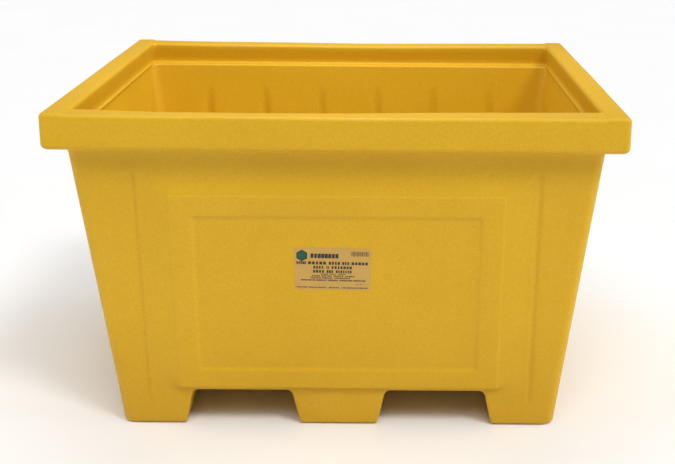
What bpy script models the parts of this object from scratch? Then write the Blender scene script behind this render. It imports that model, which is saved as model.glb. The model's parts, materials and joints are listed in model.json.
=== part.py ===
"""Extra-large spill containment tote bin, double-wall rotational moulding.

One hollow polyethylene moulding: a tapered tub with a deep box rim, a seat ledge inside
the rim, three runners that leave two fork channels, and raised panels on the walls.
It carries a label, two vent plugs and sixteen threaded inserts for caster plates.

Metres, +Z up, +X along the long side, -Y to the label side.
The origin is on the floor, under the middle of the bin.
"""
import math

import bmesh
import bpy
from mathutils import Matrix
from mathutils import Vector

# ---- driving dimensions ------------------------------------------------------------
LENGTH = 1.575                # over the rim, along X
WIDTH = 1.370                 # over the rim, along Y
HEIGHT = 0.968                # floor to rim top
DRAFT = 0.112                 # inward lean of every wall, run per unit height
SKIN = 0.0060                 # moulded wall thickness
GAP = 0.0003                  # clearance between separate pieces
PROUD = 0.010                 # how far a cutter stands out of what it cuts
ARC_STEPS = 3                 # facets on each rounded corner in plan

# rim
RIM_BAND = 0.105              # height of the rim's outer face
OVERHANG = 0.054              # rim face to wall, under the rim
RIM_TOP_SIDE = 0.066          # width of the rim top on the short sides
RIM_TOP_LONG = 0.078          # width of the rim top on the long sides
RIM_EDGE = 0.010              # rounding along the top edges
RIM_FOOT = 0.016              # rounding along the bottom edge
RIM_CORNER = 0.022            # corner radius in plan
SEAT_Z = 0.885                # height of the ledge inside the rim
SEAT_OUT_X = 0.770            # ledge's outer edge, short sides
SEAT_OUT_Y = 0.615            # ledge's outer edge, long sides
SEAT_IN_X = 0.712             # ledge's inner edge, short sides
SEAT_IN_Y = 0.577             # ledge's inner edge, long sides
SEAT_EDGE = 0.012             # rounding where the ledge turns down

# tub
WALL_TOP = HEIGHT - RIM_BAND
WALL_TOP_X = LENGTH / 2 - OVERHANG
WALL_TOP_Y = WIDTH / 2 - OVERHANG
FOOT_X = WALL_TOP_X - DRAFT * WALL_TOP
FOOT_Y = WALL_TOP_Y - DRAFT * WALL_TOP
WALL_CORNER = 0.030
FOOT_EDGE = 0.014
FLOOR_Z = 0.165               # inner floor
FLOOR_EDGE = 0.050            # fillet between inner wall and inner floor
FLOOR_CORNER = 0.012          # added to the fillet, gives the floor's corner radius
VOID_EDGE = 0.003             # chamfer of the space inside the rim's top

# fork channels, front to back
FORK_X = 0.2845               # channel centre
FORK_HALF_TOP = 0.1455
FORK_HALF_FOOT = 0.1705
FORK_Z = 0.115                # channel roof
FORK_EDGE = 0.015

# raised panel on each wall, as (half width, lowest z, highest z)
PANEL_LONG_OUTER = (0.466, 0.128, 0.733)
PANEL_SIDE_OUTER = (0.375, 0.128, 0.733)
PANEL_BAND = 0.063            # width of the flat band
PANEL_BEVEL = 0.074           # width of the slope outside the band
PANEL_BEVEL_TOP = 0.060
PANEL_RISE = 0.009
PANEL_STEP = 0.006            # how far the middle sinks back
PANEL_LIP = 0.0005            # height of the slope's outer edge over the wall

# outer grooves beside the panels
GROOVE_LONG_X = 0.562
GROOVE_SIDE_Y = 0.468
GROOVE_Z = (0.085, 0.795)
GROOVE_R = 0.009
GROOVE_DEPTH = 0.005

# inner grooves, which brace the inner wall against the outer one
BRACE_PITCH = 0.207
BRACE_LONG = (-2.5, -1.5, -0.5, 0.5, 1.5, 2.5)
BRACE_SIDE = (-2, -1, 0, 1, 2)
BRACE_Z = (0.250, 0.815)
BRACE_R = 0.014
BRACE_DEPTH_LONG = 0.012
BRACE_DEPTH_SIDE = 0.006
BRACE_WEB = 0.036             # solid width left around a groove
BRACE_WEB_INWARD = 0.150      # reach of that solid from the ledge's inner edge
BRACE_WEB_OUTWARD = 0.060
BRACE_WEB_END = 0.020         # how far it runs past the groove's ends

# inserts for 4-inch casters, hole pattern 67 x 92 mm
INSERT_R = 0.0085
INSERT_BORE_R = 0.0043
INSERT_LENGTH = 0.022
INSERT_EDGE = 0.001           # chamfers
INSERT_WAIST = 0.0015         # depth of the waist between the two collars
INSERT_CROWN = 0.003          # closed end over the bore
INSERT_RECESS = 0.0012        # how far an insert stands back from the runner's underside
INSERT_PITCH_X = 0.067
INSERT_PITCH_Y = 0.092
CASTER_X = 0.545
CASTER_Y = 0.405
PAD_HALF_X = 0.056
PAD_HALF_Y = 0.072
PAD_Z = 0.042

# vent plugs, flush in the fork channel roofs
VENT_R = 0.006
VENT_LENGTH = 0.0135
VENT_TIP = 0.0025
VENT_FLANGE_R = 0.011
VENT_FLANGE = 0.0025
VENT_EDGE = 0.001             # chamfers
VENT_RECESS = 0.0005          # how far a plug stands back from the roof

# label
LABEL_W = 0.216
LABEL_H = 0.140
LABEL_T = 0.0006
LABEL_X = -0.012
LABEL_Z = 0.513
LABEL_TURN = math.radians(-1.8)

SLOPE = math.sqrt(1 + DRAFT * DRAFT)


# ---- scene helpers -----------------------------------------------------------------
def clear_scene():
    for obj in list(bpy.data.objects):
        bpy.data.objects.remove(obj, do_unlink=True)


def new_collection(name):
    collection = bpy.data.collections.new(name)
    bpy.context.scene.collection.children.link(collection)
    return collection


def material(name, colour, roughness, metallic=0.0):
    mat = bpy.data.materials.new(name)
    mat.use_nodes = True
    shader = mat.node_tree.nodes["Principled BSDF"]
    shader.inputs["Base Color"].default_value = (*colour, 1.0)
    shader.inputs["Roughness"].default_value = roughness
    shader.inputs["Metallic"].default_value = metallic
    return mat


def add_object(name, bm, collection, mat=None):
    bm.normal_update()
    bmesh.ops.recalc_face_normals(bm, faces=bm.faces)
    mesh = bpy.data.meshes.new(name)
    bm.to_mesh(mesh)
    bm.free()
    obj = bpy.data.objects.new(name, mesh)
    collection.objects.link(obj)
    if mat is not None:
        mesh.materials.append(mat)
    return obj


def as_cutter(obj):
    obj.hide_render = True
    obj.display_type = "WIRE"
    return obj


def boolean(obj, operation, operand):
    mod = obj.modifiers.new(operation.lower(), "BOOLEAN")
    mod.operation = operation
    mod.solver = "EXACT"
    if isinstance(operand, bpy.types.Collection):
        mod.operand_type = "COLLECTION"
        mod.collection = operand
    else:
        mod.object = operand
    return mod


# ---- geometry helpers --------------------------------------------------------------
def rounded_ring(half_x, half_y, radius, z):
    """Points of a rounded rectangle at height z, anticlockwise from above."""
    points = []
    for sx, sy, start in ((1, 1, 0), (-1, 1, 90), (-1, -1, 180), (1, -1, 270)):
        for step in range(ARC_STEPS + 1):
            angle = math.radians(start + 90 * step / ARC_STEPS)
            x = sx * (half_x - radius) + radius * math.cos(angle)
            y = sy * (half_y - radius) + radius * math.sin(angle)
            points.append((x, y, z))
    return points


def loft(rings):
    """A closed solid through rings of equal point count."""
    bm = bmesh.new()
    rows = [[bm.verts.new(p) for p in ring] for ring in rings]
    count = len(rows[0])
    bm.faces.new(list(reversed(rows[0])))
    bm.faces.new(rows[-1])
    for low, high in zip(rows, rows[1:]):
        for i in range(count):
            j = (i + 1) % count
            bm.faces.new((low[i], low[j], high[j], high[i]))
    return bm


def wall_frame(side):
    """Matrix of a wall: u along it, v up its slope, w out of it, from its foot line."""
    turn, reach = {"front": (0, FOOT_Y), "right": (90, FOOT_X),
                   "back": (180, FOOT_Y), "left": (270, FOOT_X)}[side]
    axis_u = Vector((1, 0, 0))
    axis_v = Vector((0, -DRAFT, 1)) / SLOPE
    axis_w = axis_u.cross(axis_v)
    frame = Matrix((axis_u, axis_v, axis_w)).transposed().to_4x4()
    frame.translation = Vector((0, -reach, 0))
    return Matrix.Rotation(math.radians(turn), 4, "Z") @ frame


def rectangle(half, low, high, w):
    """Corner points on a wall, from heights above the floor."""
    return [(-half, low * SLOPE, w), (half, low * SLOPE, w),
            (half, high * SLOPE, w), (-half, high * SLOPE, w)]


def bar(name, collection, start, end, radius, sides):
    """A prism between two points, used as a groove cutter."""
    start = Vector(start)
    end = Vector(end)
    bm = bmesh.new()
    bmesh.ops.create_cone(bm, cap_ends=True, segments=sides, radius1=radius,
                          radius2=radius, depth=(end - start).length)
    turn = (end - start).to_track_quat("Z", "Y").to_matrix().to_4x4()
    bm.transform(Matrix.Translation((start + end) / 2) @ turn)
    return as_cutter(add_object(name, bm, collection))


def block(name, collection, low, high):
    bm = bmesh.new()
    bmesh.ops.create_cube(bm, size=1.0)
    low = Vector(low)
    high = Vector(high)
    size = Matrix.Diagonal((*(high - low), 1.0))
    bm.transform(Matrix.Translation((low + high) / 2) @ size)
    return as_cutter(add_object(name, bm, collection))


# ---- the moulding ------------------------------------------------------------------
def floor_fillet(grow):
    """Half sizes, radius and height of the sections around the inner floor's edge."""
    deep = SEAT_Z - SEAT_EDGE - FLOOR_Z
    wall_x = SEAT_IN_X - DRAFT * deep
    wall_y = SEAT_IN_Y - DRAFT * deep
    edge = FLOOR_EDGE + grow
    for step in (0, 1, 2, 3):
        angle = math.radians(30 * step)
        lean = DRAFT * FLOOR_EDGE * (1 - math.sin(angle))
        reach = edge * math.cos(angle) - FLOOR_EDGE + lean
        yield (wall_x + reach, wall_y + reach, edge + FLOOR_CORNER,
               FLOOR_Z + FLOOR_EDGE - edge * math.sin(angle))


def tub_rings():
    """Sections of the whole skin: up the outside, over the rim, down the inside."""
    rim_x = LENGTH / 2
    rim_y = WIDTH / 2
    top_x = rim_x - RIM_TOP_SIDE
    top_y = rim_y - RIM_TOP_LONG
    lean = DRAFT * FOOT_EDGE
    rings = [
        (FOOT_X - FOOT_EDGE, FOOT_Y - FOOT_EDGE, WALL_CORNER, 0.0),
        (FOOT_X + lean, FOOT_Y + lean, WALL_CORNER, FOOT_EDGE),
        (WALL_TOP_X, WALL_TOP_Y, WALL_CORNER, WALL_TOP),
        (rim_x - RIM_FOOT, rim_y - RIM_FOOT, RIM_CORNER, WALL_TOP),
    ]
    for step in (1, 2, 3):
        angle = math.radians(30 * step)
        inset = RIM_FOOT * (1 - math.sin(angle))
        rings.append((rim_x - inset, rim_y - inset, RIM_CORNER,
                      WALL_TOP + RIM_FOOT * (1 - math.cos(angle))))
    for step in range(3):
        angle = math.radians(45 * step)
        inset = RIM_EDGE * (1 - math.cos(angle))
        rings.append((rim_x - inset, rim_y - inset, RIM_CORNER,
                      HEIGHT - RIM_EDGE * (1 - math.sin(angle))))
    for step in (2, 1, 0):
        angle = math.radians(45 * step)
        inset = RIM_EDGE * (1 - math.cos(angle))
        rings.append((top_x + inset, top_y + inset, RIM_CORNER,
                      HEIGHT - RIM_EDGE * (1 - math.sin(angle))))
    rings.append((SEAT_OUT_X, SEAT_OUT_Y, RIM_CORNER, SEAT_Z))
    for step in (2, 1, 0):
        angle = math.radians(45 * step)
        inset = SEAT_EDGE * (1 - math.cos(angle))
        rings.append((SEAT_IN_X + inset, SEAT_IN_Y + inset, WALL_CORNER,
                      SEAT_Z - SEAT_EDGE * (1 - math.sin(angle))))
    rings += floor_fillet(0.0)
    return [rounded_ring(*ring) for ring in rings]


def void_rings():
    """Sections of the closed space between the outer and the inner skin."""
    rim_x = LENGTH / 2 - SKIN
    rim_y = WIDTH / 2 - SKIN
    top_x = LENGTH / 2 - RIM_TOP_SIDE + SKIN
    top_y = WIDTH / 2 - RIM_TOP_LONG + SKIN
    roof = HEIGHT - SKIN
    foot = RIM_FOOT - SKIN
    rings = [
        (FOOT_X - SKIN - FOOT_EDGE, FOOT_Y - SKIN - FOOT_EDGE, SKIN),
        (FOOT_X - SKIN, FOOT_Y - SKIN, FOOT_EDGE),
        (WALL_TOP_X - SKIN, WALL_TOP_Y - SKIN, WALL_TOP),
    ]
    for turn in (0, 45, 90):
        inset = foot * (1 - math.sin(math.radians(turn)))
        rise = foot * (1 - math.cos(math.radians(turn)))
        rings.append((rim_x - inset, rim_y - inset, WALL_TOP + SKIN + rise))
    rings += [
        (rim_x, rim_y, roof - VOID_EDGE),
        (rim_x - VOID_EDGE, rim_y - VOID_EDGE, roof),
        (top_x + VOID_EDGE, top_y + VOID_EDGE, roof),
        (top_x, top_y, roof - VOID_EDGE),
        (SEAT_OUT_X + SKIN, SEAT_OUT_Y + SKIN, SEAT_Z - SKIN),
        (SEAT_IN_X + SKIN, SEAT_IN_Y + SKIN, SEAT_Z - SKIN),
    ]
    rings = [(x, y, WALL_CORNER - SKIN, z) for x, y, z in rings]
    rings += floor_fillet(SKIN)
    return [rounded_ring(*ring) for ring in rings]


def fork_channel(name, collection, side, grow):
    """Prism with sloping sides, through the bin from front to back."""
    lean = (FORK_HALF_FOOT - FORK_HALF_TOP) / FORK_Z
    foot = FORK_HALF_FOOT + lean * PROUD + grow
    section = [(-foot, -PROUD), (foot, -PROUD)]
    for turn in (0, 45, 90):
        angle = math.radians(turn)
        drop = FORK_EDGE * (1 - math.sin(angle))
        inset = FORK_EDGE * (1 - math.cos(angle))
        section.append((FORK_HALF_TOP + lean * drop + grow - inset, FORK_Z + grow - drop))
    section += [(-x, z) for x, z in reversed(section[2:])]
    reach = WIDTH / 2
    rings = [[(side * FORK_X + x, y, z) for x, z in section] for y in (-reach, reach)]
    return as_cutter(add_object(name, loft(rings), collection))


def raised_panel(name, collection, side, outer):
    """Bevelled band around a slightly sunk middle, rooted in the wall."""
    half, low, high = outer
    band = PANEL_BAND
    sunk = PANEL_RISE - PANEL_STEP
    root = -SKIN / 2
    inner = (half - band, low + band, high - band)
    rings = [
        rectangle(half + PANEL_BEVEL, low, high + PANEL_BEVEL_TOP, root),
        rectangle(half + PANEL_BEVEL, low, high + PANEL_BEVEL_TOP, PANEL_LIP),
        rectangle(half, low + PANEL_STEP, high, PANEL_RISE),
        rectangle(*inner, PANEL_RISE),
        rectangle(inner[0] - PANEL_STEP, inner[1] + PANEL_STEP, inner[2] - PANEL_STEP, sunk),
    ]
    bm = loft(rings)
    bm.transform(wall_frame(side))
    return as_cutter(add_object(name, bm, collection))


def outer_grooves(collection):
    """Shallow upright grooves beside the panels."""
    for side, offset in (("front", GROOVE_LONG_X), ("back", GROOVE_LONG_X),
                         ("left", GROOVE_SIDE_Y), ("right", GROOVE_SIDE_Y)):
        frame = wall_frame(side)
        for hand in (-1, 1):
            ends = [frame @ Vector((hand * offset, z * SLOPE, GROOVE_R - GROOVE_DEPTH)) for z in GROOVE_Z]
            bar(f"cut_groove_{side}_{hand}", collection, *ends, GROOVE_R, 8)


def brace_grooves(cuts, webs):
    """Grooves in the inner wall, and the solid webs left behind them."""
    inner_wall = {"y": SEAT_IN_Y, "x": SEAT_IN_X}
    low, high = BRACE_Z
    for axis, places, depth in (("y", BRACE_LONG, BRACE_DEPTH_LONG),
                                ("x", BRACE_SIDE, BRACE_DEPTH_SIDE)):
        for hand in (-1, 1):
            for place in places:
                along = place * BRACE_PITCH
                ends = []
                for z in (low, high):
                    face = inner_wall[axis] - DRAFT * (SEAT_Z - SEAT_EDGE - z)
                    reach = hand * (face - BRACE_R + depth)
                    ends.append((along, reach, z) if axis == "y" else (reach, along, z))
                tag = f"{axis}{hand}_{places.index(place)}"
                bar(f"cut_brace_{tag}", cuts, *ends, BRACE_R, 8)
                near = hand * (inner_wall[axis] - BRACE_WEB_INWARD)
                far = hand * (inner_wall[axis] + BRACE_WEB_OUTWARD)
                flat = (min(near, far), max(near, far))
                span = (along - BRACE_WEB / 2, along + BRACE_WEB / 2)
                if axis == "x":
                    flat, span = span, flat
                block(f"web_{tag}", webs, (span[0], flat[0], low - BRACE_WEB_END),
                      (span[1], flat[1], high + BRACE_WEB_END))


def caster_places():
    for hand_x in (-1, 1):
        for hand_y in (-1, 1):
            yield hand_x * CASTER_X, hand_y * CASTER_Y


def insert_places():
    for x, y in caster_places():
        for step_x in (-0.5, 0.5):
            for step_y in (-0.5, 0.5):
                yield x + step_x * INSERT_PITCH_X, y + step_y * INSERT_PITCH_Y


def build_tub(parts, cutters, mat):
    keep_solid = new_collection("void_keepouts")
    removals = new_collection("tub_removals")
    additions = new_collection("tub_additions")

    void = as_cutter(add_object("cut_void", loft(void_rings()), cutters))
    for hand in (-1, 1):
        fork_channel(f"keep_fork_{hand}", keep_solid, hand, SKIN)
        fork_channel(f"cut_fork_{hand}", removals, hand, 0.0)
        for tag, radius, top in (("barrel", VENT_R, FORK_Z + SKIN + PROUD),
                                 ("flange", VENT_FLANGE_R, FORK_Z + VENT_RECESS + VENT_FLANGE + GAP)):
            bar(f"cut_vent_{tag}_{hand}", removals, (hand * FORK_X, 0, FORK_Z - PROUD),
                (hand * FORK_X, 0, top), radius + GAP, 12)
    for i, (x, y) in enumerate(caster_places()):
        block(f"keep_pad_{i}", keep_solid, (x - PAD_HALF_X, y - PAD_HALF_Y, 0),
              (x + PAD_HALF_X, y + PAD_HALF_Y, PAD_Z))
    for i, (x, y) in enumerate(insert_places()):
        bar(f"cut_insert_{i}", removals, (x, y, -PROUD),
            (x, y, INSERT_RECESS + INSERT_LENGTH + GAP), INSERT_R + GAP, 12)
    outer_grooves(removals)
    brace_grooves(removals, keep_solid)
    for side, outer in (("front", PANEL_LONG_OUTER), ("back", PANEL_LONG_OUTER),
                        ("left", PANEL_SIDE_OUTER), ("right", PANEL_SIDE_OUTER)):
        raised_panel(f"add_panel_{side}", additions, side, outer)

    boolean(void, "DIFFERENCE", keep_solid)
    tub = add_object("tote_body", loft(tub_rings()), parts, mat)
    boolean(tub, "UNION", additions)
    boolean(tub, "DIFFERENCE", removals)
    boolean(tub, "DIFFERENCE", void)
    return tub


# ---- the pieces it carries ---------------------------------------------------------
def turned(name, parts, mat, profile, place, segments=12):
    """A turned piece from its outer side's profile, top to bottom, ending on the axis."""
    mesh = bpy.data.meshes.new(name)
    edges = [(i, i + 1) for i in range(len(profile) - 1)]
    mesh.from_pydata([(r, 0, z) for r, z in profile], edges, [])
    mesh.materials.append(mat)
    obj = bpy.data.objects.new(name, mesh)
    parts.objects.link(obj)
    obj.location = place
    screw = obj.modifiers.new("turn", "SCREW")
    screw.steps = segments
    screw.render_steps = segments
    screw.use_merge_vertices = True
    screw.merge_threshold = 0.00005
    return obj


def insert_profile():
    """Knurled collar, waist, knurled collar and a stepped bore: a closed loop in section."""
    outer = INSERT_R
    waist = INSERT_R - INSERT_WAIST
    bore = INSERT_BORE_R
    top = INSERT_LENGTH
    roof = INSERT_LENGTH - INSERT_CROWN
    return [(0.0, top), (outer - INSERT_EDGE, top), (outer, top - INSERT_EDGE), (outer, top * 0.62),
            (waist, top * 0.56), (waist, top * 0.44), (outer, top * 0.38), (outer, 0.0),
            (bore + INSERT_EDGE, 0.0), (bore, INSERT_EDGE), (bore, roof), (0.0, roof)]


def build_inserts(parts, mat):
    order = ("front_left", "rear_left", "front_right", "rear_right")
    for i, (x, y) in enumerate(insert_places()):
        turned(f"threaded_insert_{order[i // 4]}_{i % 4 + 1}", parts, mat, insert_profile(),
               (x, y, INSERT_RECESS), 10)


def build_vent_plugs(parts, mat):
    profile = [(0.0, VENT_LENGTH), (VENT_R - VENT_EDGE, VENT_LENGTH),
               (VENT_R, VENT_LENGTH - VENT_TIP), (VENT_R, VENT_FLANGE),
               (VENT_FLANGE_R, VENT_FLANGE), (VENT_FLANGE_R, VENT_EDGE),
               (VENT_FLANGE_R - VENT_EDGE, 0.0), (0.0, 0.0)]
    for hand, name in ((-1, "left"), (1, "right")):
        turned(f"vent_plug_{name}", parts, mat, profile, (hand * FORK_X, 0, FORK_Z + VENT_RECESS), 12)


def build_label(parts, mat):
    bm = bmesh.new()
    bmesh.ops.create_cube(bm, size=1.0)
    bm.transform(Matrix.Diagonal((LABEL_W, LABEL_H, LABEL_T, 1.0)))
    lift = PANEL_RISE - PANEL_STEP + GAP + LABEL_T / 2
    place = wall_frame("front") @ Matrix.Translation((LABEL_X, LABEL_Z * SLOPE, lift))
    bm.transform(place @ Matrix.Rotation(LABEL_TURN, 4, "Z"))
    return add_object("product_label", bm, parts, mat)


def main():
    clear_scene()
    parts = new_collection("spill_containment_tote_bin")
    cutters = new_collection("cutters")
    yellow = material("yellow_polyethylene", (0.67, 0.41, 0.02), 0.45)
    brass = material("insert_brass", (0.60, 0.45, 0.20), 0.35, 1.0)
    black = material("black_plug_plastic", (0.03, 0.03, 0.03), 0.5)
    paper = material("label_film", (0.62, 0.53, 0.33), 0.5)
    build_tub(parts, cutters, yellow)
    build_inserts(parts, brass)
    build_vent_plugs(parts, black)
    build_label(parts, paper)


main()
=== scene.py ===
"""Looks of an extra-large spill containment tote bin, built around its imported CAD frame.

The yellow moulding, its label, the caster inserts and the vent plugs are each made by an
operator. The stage operator makes the floor, the lights and the camera. Metres, +Z up,
+X along the bin, -Y towards the label.
"""
import json
import math

import bmesh
import bpy
import numpy as np
from mathutils import Matrix, Vector


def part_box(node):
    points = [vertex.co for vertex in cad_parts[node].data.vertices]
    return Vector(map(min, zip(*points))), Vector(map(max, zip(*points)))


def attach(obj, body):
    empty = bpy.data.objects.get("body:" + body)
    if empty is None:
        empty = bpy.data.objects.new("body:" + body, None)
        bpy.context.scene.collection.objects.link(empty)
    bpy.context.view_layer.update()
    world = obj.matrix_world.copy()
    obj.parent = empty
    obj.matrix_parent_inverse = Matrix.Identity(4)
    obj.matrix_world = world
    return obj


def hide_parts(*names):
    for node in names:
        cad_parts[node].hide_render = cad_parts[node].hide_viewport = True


bl_info = {
    "name": "Spill Containment Tote Bin",
    "version": (1, 0, 0),
    "blender": (4, 5, 0),
    "location": "3D View > Sidebar > Tote Bin",
    "description": "Builds the moulding, label, inserts and vent plugs of a tote bin",
    "category": "Object",
}

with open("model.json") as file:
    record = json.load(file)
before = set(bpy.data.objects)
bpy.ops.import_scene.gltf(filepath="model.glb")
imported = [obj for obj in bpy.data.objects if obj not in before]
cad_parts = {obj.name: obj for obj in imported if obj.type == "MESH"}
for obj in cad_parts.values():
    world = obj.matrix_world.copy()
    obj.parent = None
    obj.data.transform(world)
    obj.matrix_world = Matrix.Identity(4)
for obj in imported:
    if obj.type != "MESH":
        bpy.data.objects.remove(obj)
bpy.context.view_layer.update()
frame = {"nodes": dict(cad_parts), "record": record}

# ---- places taken from the frame ---------------------------------------------------
BODY = "root"
BIN_LOW, BIN_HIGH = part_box("tote_body")
HALF_LENGTH = BIN_HIGH.x
HALF_WIDTH = BIN_HIGH.y
HEIGHT = BIN_HIGH.z
MOUNTS = {mount["name"]: mount["pos_m"] for mount in frame["record"]["mounts"]}
OPENINGS = {opening["name"]: opening["box_m"]
            for opening in frame["record"]["physics"]["openings"]}
LEDGE_RISE = 0.005          # the ledge's height over the foot of the stated recess
LEDGE_HEIGHT = OPENINGS["rim_recess"][0][2] + LEDGE_RISE
FORK_CENTRE = MOUNTS["fork_roof_right"][0]
FORK_ROOF = MOUNTS["fork_roof_right"][2]
INSERT_NODES = sorted(name for name in frame["nodes"] if name.startswith("threaded_insert"))
VENT_NODES = sorted(name for name in frame["nodes"] if name.startswith("vent_plug"))
SIDES = ("front", "right", "back", "left")
CLEARANCE = 0.0003          # gap between a fitting and its bore
FLOOR = -0.0004             # just under the runners, so that no two faces share a plane
FLANGE_DEPTH = 0.0025       # height of a vent plug's flange
BARREL_SHARE = 0.0063 / 0.0113      # radius of a plug's bore to that of its counterbore


def middle(node):
    """Centre of a CAD node's box."""
    low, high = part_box(node)
    return (low + high) / 2


# ---- settings ----------------------------------------------------------------------
def length(name, description, default):
    return bpy.props.FloatProperty(name=name, description=description, default=default,
                                   min=0.0, max=5.0, unit="LENGTH", precision=4)


def colour(name, description, default):
    return bpy.props.FloatVectorProperty(name=name, description=description, default=default,
                                         size=3, min=0.0, max=1.0, subtype="COLOR")


def share(name, description, default):
    return bpy.props.FloatProperty(name=name, description=description, default=default,
                                   min=0.0, max=1.0, subtype="FACTOR")


def strength(name, description, default):
    return bpy.props.FloatProperty(name=name, description=description, default=default,
                                   min=0.0, unit="NONE")


def turned(name, description, degrees):
    return bpy.props.FloatProperty(name=name, description=description, unit="ROTATION",
                                   default=math.radians(degrees))


class TubSettings(bpy.types.PropertyGroup):
    """Sizes of the walls, the rim and the floor."""

    draft: share("Draft", "Inward lean of every wall, run per unit of height", 0.112)
    rim_band: length("Rim band", "Height of the rim's outer face", 0.101)
    overhang_short: length("Short overhang", "From the rim's face to the wall, short sides", 0.049)
    overhang_long: length("Long overhang", "From the rim's face to the wall, long sides", 0.054)
    rim_top_short: length("Short rim top", "Width of the rim's top on the short sides", 0.066)
    rim_top_long: length("Long rim top", "Width of the rim's top on the long sides", 0.078)
    rim_edge: length("Rim edge", "Rounding of the rim's top edges", 0.011)
    rim_foot: length("Rim foot", "Rounding of the rim's lower outer edge", 0.016)
    rim_root: length("Rim root", "Fillet where the wall meets the rim's underside", 0.016)
    rim_corner: length("Rim corner", "Corner radius of the rim in plan", 0.013)
    rim_sag_front: length("Front sag", "Dip of the front rim at mid span", 0.003)
    rim_sag_back: length("Back sag", "Dip of the back rim at mid span", 0.005)
    rim_step: length("Rim step", "Drop from the short rims to the long ones", 0.0030)
    rim_flare: length("Rim flare", "How far the rim's ends bow out", 0.0035)
    rim_lean: length("Rim lean", "How much the left end of the rim stands over the right", 0.0015)
    ledge_out_short: length("Ledge, short sides", "Half size out to the ledge's root", 0.730)
    ledge_out_long: length("Ledge, long sides", "Half size out to the ledge's root", 0.615)
    ledge_in_short: length("Mouth, short sides", "Half size at the ledge's inner edge", 0.727)
    ledge_in_long: length("Mouth, long sides", "Half size at the ledge's inner edge", 0.577)
    ledge_edge: length("Ledge edge", "Rounding where the ledge turns down", 0.007)
    wall_corner: length("Wall corner", "Corner radius of the walls in plan", 0.030)
    foot_edge: length("Foot edge", "Rounding round the foot", 0.014)
    floor_height: length("Floor", "Height of the inner floor", 0.165)
    floor_edge: length("Floor fillet", "Fillet between inner wall and floor", 0.050)


class ReliefSettings(bpy.types.PropertyGroup):
    """Sizes of the panels, grooves and fork channels."""

    panel_half_long: length("Long panel", "Half width of the raised band, long sides", 0.466)
    panel_half_short: length("Short panel", "Half width of the raised band, short sides", 0.375)
    panel_low: length("Panel foot", "Height of the band's lower edge", 0.128)
    panel_high: length("Panel top", "Height of the band's upper edge", 0.733)
    panel_band: length("Band", "Width of the flat band", 0.064)
    panel_bevel: length("Side bevel", "Width of the slope beside the band", 0.074)
    panel_bevel_top: length("Top bevel", "Height of the slope above the band", 0.060)
    panel_rise: length("Rise", "How far the band stands out", 0.014)
    panel_lip: length("Lip", "Small step at the band's outer edge", 0.0030)
    panel_step: length("Step", "How far the middle sinks back from the band", 0.006)
    panel_crown: length("Crown", "Outward bulge of the middle", 0.0060)
    groove_long: length("Long groove", "Place of the upright groove, long sides", 0.562)
    groove_short: length("Short groove", "Place of the upright groove, short sides", 0.468)
    groove_low: length("Groove foot", "Height of a groove's lower end", 0.085)
    groove_high: length("Groove top", "Height of a groove's upper end", 0.795)
    groove_reach: length("Groove reach", "Half width of an upright groove", 0.0110)
    groove_depth: length("Groove depth", "Depth of an upright groove", 0.0044)
    brace_pitch: length("Brace pitch", "Spacing of the braces in the inner wall", 0.207)
    brace_low: length("Brace foot", "Height of a brace's lower end", 0.250)
    brace_high: length("Brace top", "Height at which a brace has died out", 0.835)
    brace_fade: length("Brace fade", "Height over which a brace dies out at its top", 0.135)
    brace_reach: length("Brace reach", "Half width of a brace", 0.024)
    brace_depth_long: length("Long brace depth", "Depth of the long walls' braces", 0.0105)
    brace_depth_short: length("Short brace depth", "Depth of the short walls' braces", 0.006)
    fork_half_top: length("Channel roof", "Half width of a fork channel at its roof", 0.1455)
    fork_half_foot: length("Channel foot", "Half width of a fork channel at the floor", 0.1705)
    fork_edge: length("Channel corner", "Radius under a channel's roof", 0.015)
    runner_edge: length("Runner edge", "Rounding of a runner's lower edges", 0.013)
    fork_mouth: length("Channel mouth", "Rounding where a channel meets a wall", 0.007)


class FinishSettings(bpy.types.PropertyGroup):
    """Colours of the plastics, the metal and the label."""

    yellow: colour("Yellow", "Polyethylene of the moulding", (0.682, 0.396, 0.011))
    yellow_pale: colour("Pale yellow", "Cloudy patches in the polyethylene", (0.712, 0.426, 0.015))
    brass: colour("Brass", "Threaded inserts", (0.60, 0.45, 0.20))
    black: colour("Black", "Vent plugs", (0.020, 0.020, 0.021))
    film: colour("Film", "Label stock", (0.560, 0.335, 0.078))
    ink: colour("Ink", "Label print", (0.030, 0.030, 0.024))
    mark: colour("Mark", "Coloured block on the label", (0.010, 0.085, 0.045))
    dust: colour("Dust", "Speckle of the polyethylene's grain", (0.54, 0.29, 0.008))
    scuff: colour("Scuff", "Rubbed streaks on the polyethylene", (0.82, 0.60, 0.17))
    # Painted shade: a darker yellow blended in toward the foot of the walls, standing in for the
    # shade that falls there.
    foot_shade: colour("Grime", "Dirt toward the foot of the walls", (0.36, 0.17, 0.012))
    floor: colour("Floor", "Studio floor", (0.92, 0.92, 0.92))


# ---- node helpers ------------------------------------------------------------------
def add_node(tree, kind, inputs=(), **properties):
    """A node with its properties set; inputs maps a socket to a value or a source socket."""
    node = tree.nodes.new(kind)
    for key, value in properties.items():
        setattr(node, key, value)
    for key, value in dict(inputs).items():
        if isinstance(value, bpy.types.NodeSocket):
            tree.links.new(value, node.inputs[key])
        else:
            node.inputs[key].default_value = value
    return node


def new_material(name, **shader_values):
    """A material with its Principled shader's plain values set."""
    mat = bpy.data.materials.new(name)
    mat.use_nodes = True
    shader = mat.node_tree.nodes["Principled BSDF"]
    for key, value in shader_values.items():
        shader.inputs[key.replace("_", " ")].default_value = value
    return mat, mat.node_tree, shader


def noise(tree, place, scale, detail=2.0, roughness=0.5):
    values = {"Vector": place, "Scale": scale, "Detail": detail, "Roughness": roughness}
    return add_node(tree, "ShaderNodeTexNoise", values).outputs["Fac"]


def ranged(tree, value, low, high, from_low=0.3, from_high=0.7):
    values = {"Value": value, "From Min": from_low, "From Max": from_high,
              "To Min": low, "To Max": high}
    return add_node(tree, "ShaderNodeMapRange", values).outputs["Result"]


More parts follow.
